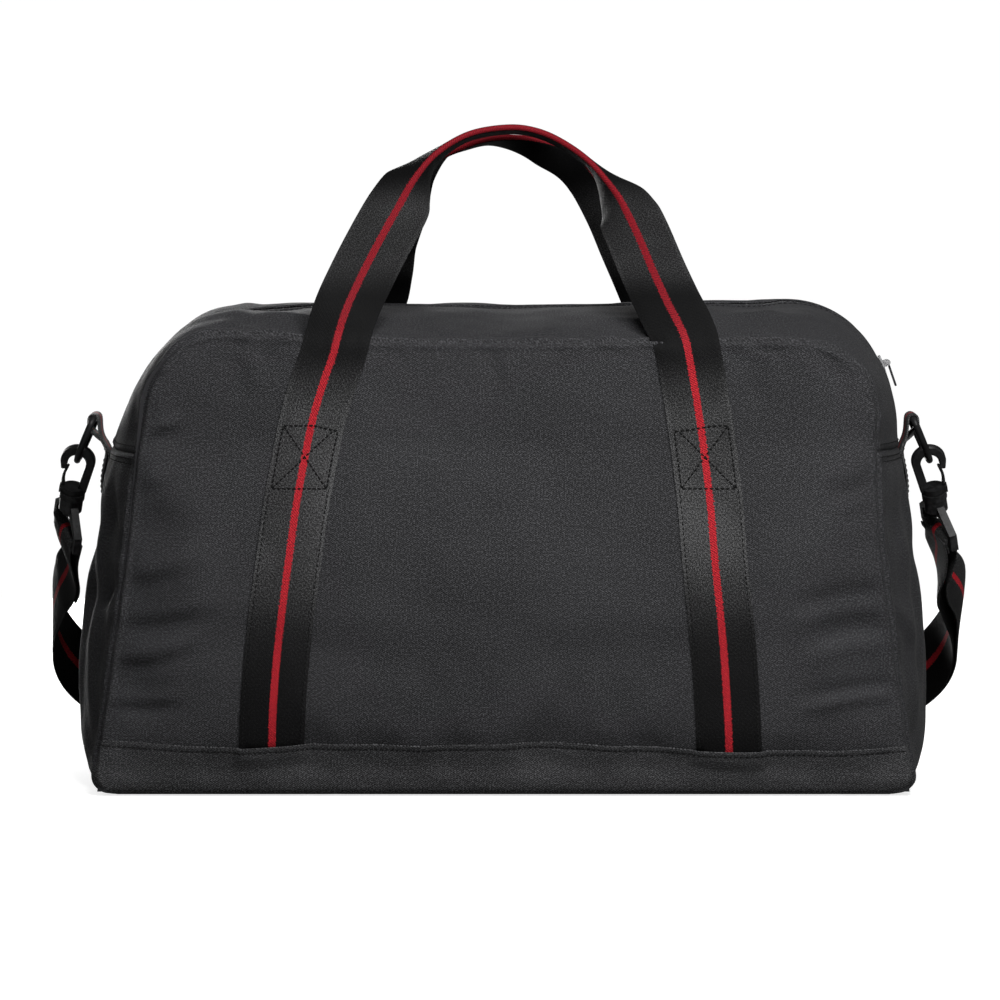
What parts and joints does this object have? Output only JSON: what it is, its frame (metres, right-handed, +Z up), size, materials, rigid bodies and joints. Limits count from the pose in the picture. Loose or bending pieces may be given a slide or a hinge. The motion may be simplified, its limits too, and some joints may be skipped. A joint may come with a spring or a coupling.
{
  "type": "weekender bag",
  "caption": "Black twill weekender bag with webbing handles, top zip, D-rings and a clip-on shoulder strap.",
  "frame": {"origin": "centre of the flat underside of the bag, on the surface it stands on", "axes": "+X along the bag's length to its right as seen from the front, -Y out of the front panel, +Z up"},
  "size_m": [0.558, 0.2559, 0.392],
  "materials": {
    "panel_twill": "black twill polyester, matt, fine diagonal weave",
    "zip_coil": "black nylon coil",
    "zip_tape": "black woven zip tape",
    "webbing": "black webbing with a red centre stripe",
    "lining": "black binding tape",
    "board": "stiff polyethylene sheet",
    "hardware": "matt black moulded plastic",
    "slider_metal": "plated zinc, satin"
  },
  "bodies": {
    "root": {"front_panel": "panel_twill", "rear_panel": "panel_twill", "front_base_band": "panel_twill", "rear_base_band": "panel_twill", "bottom_panel": "panel_twill", "base_board": "board", "left_gusset": "panel_twill", "right_gusset": "panel_twill", "front_top_strip": "panel_twill", "rear_top_strip": "panel_twill", "front_zip_tape": "zip_tape", "rear_zip_tape": "zip_tape", "front_zip_teeth": "zip_coil", "rear_zip_teeth": "zip_coil", "front_seam_binding": "lining", "rear_seam_binding": "lining", "left_end_strap": "webbing", "right_end_strap": "webbing", "front_strap_left": "webbing", "front_strap_right": "webbing", "rear_strap_left": "webbing", "rear_strap_right": "webbing", "shoulder_strap": "webbing"},
    "front_handle": {"front_handle": "webbing"},
    "rear_handle": {"rear_handle": "webbing"},
    "zip_slider": {"zip_slider": "slider_metal"},
    "zip_pull": {"zip_pull": "slider_metal"},
    "strap_adjuster": {"strap_adjuster": "hardware"},
    "left_d_ring": {"left_d_ring": "hardware"},
    "left_clip": {"left_swivel_base": "hardware", "left_strap_end": "webbing"},
    "left_hook": {"left_hook": "hardware"},
    "left_gate": {"left_gate": "hardware"},
    "right_d_ring": {"right_d_ring": "hardware"},
    "right_clip": {"right_swivel_base": "hardware", "right_strap_end": "webbing"},
    "right_hook": {"right_hook": "hardware"},
    "right_gate": {"right_gate": "hardware"}
  },
  "joints": [
    {"name": "front_handle_fold", "type": "hinge", "parent": "root", "child": "front_handle", "pos_m": [0, -0.1233, 0.218], "axis": [1, 0, 0], "range_deg": [0, 170]},
    {"name": "rear_handle_fold", "type": "hinge", "parent": "root", "child": "rear_handle", "pos_m": [0, 0.1233, 0.218], "axis": [-1, 0, 0], "range_deg": [0, 170]},
    {"name": "zip_travel", "type": "hinge", "parent": "root", "child": "zip_slider", "pos_m": [0.17, 0, 0.226], "axis": [0, -1, 0], "range_deg": [0, 66]},
    {"name": "pull_swing", "type": "hinge", "parent": "zip_slider", "child": "zip_pull", "pos_m": [0.2304, 0, 0.24838], "axis": [0, -1, 0], "range_deg": [0, 150]},
    {"name": "adjuster_slide", "type": "slide", "parent": "root", "child": "strap_adjuster", "axis": [1, 0, 0], "range_m": [0, 0.14], "deforming": ["shoulder_strap"]},
    {"name": "left_ring_swing", "type": "hinge", "parent": "root", "child": "left_d_ring", "pos_m": [-0.245, 0, 0.215], "axis": [0, 1, 0], "range_deg": [0, 60]},
    {"name": "left_clip_swing", "type": "hinge", "parent": "root", "child": "left_clip", "pos_m": [-0.245, 0, 0.215], "axis": [0, 1, 0], "range_deg": [0, 60], "deforming": ["shoulder_strap"]},
    {"name": "left_hook_swivel", "type": "hinge", "parent": "left_clip", "child": "left_hook", "pos_m": [-0.25985, 0.01153, 0.16641], "axis": [0.1561, -0.4384, 0.8851], "range_deg": [-12, 12]},
    {"name": "left_gate_press", "type": "hinge", "parent": "left_hook", "child": "left_gate", "pos_m": [-0.26467, 0.0075, 0.17565], "axis": [0.0761, 0.8988, 0.4317], "range_deg": [0, 22], "stiffness_Nm_per_rad": 0.02},
    {"name": "right_ring_swing", "type": "hinge", "parent": "root", "child": "right_d_ring", "pos_m": [0.245, 0, 0.215], "axis": [0, -1, 0], "range_deg": [0, 60]},
    {"name": "right_clip_swing", "type": "hinge", "parent": "root", "child": "right_clip", "pos_m": [0.245, 0, 0.215], "axis": [0, -1, 0], "range_deg": [0, 60], "deforming": ["shoulder_strap"]},
    {"name": "right_hook_swivel", "type": "hinge", "parent": "right_clip", "child": "right_hook", "pos_m": [0.25985, 0.01153, 0.16641], "axis": [-0.1561, -0.4384, 0.8851], "range_deg": [-12, 12]},
    {"name": "right_gate_press", "type": "hinge", "parent": "right_hook", "child": "right_gate", "pos_m": [0.26467, 0.0075, 0.17565], "axis": [0.0761, -0.8988, -0.4317], "range_deg": [0, 22], "stiffness_Nm_per_rad": 0.02}
  ],
  "couplings": [
    {"joint": "left_ring_swing", "follows": "left_clip_swing", "ratio": 1},
    {"joint": "right_ring_swing", "follows": "right_clip_swing", "ratio": 1}
  ]
}
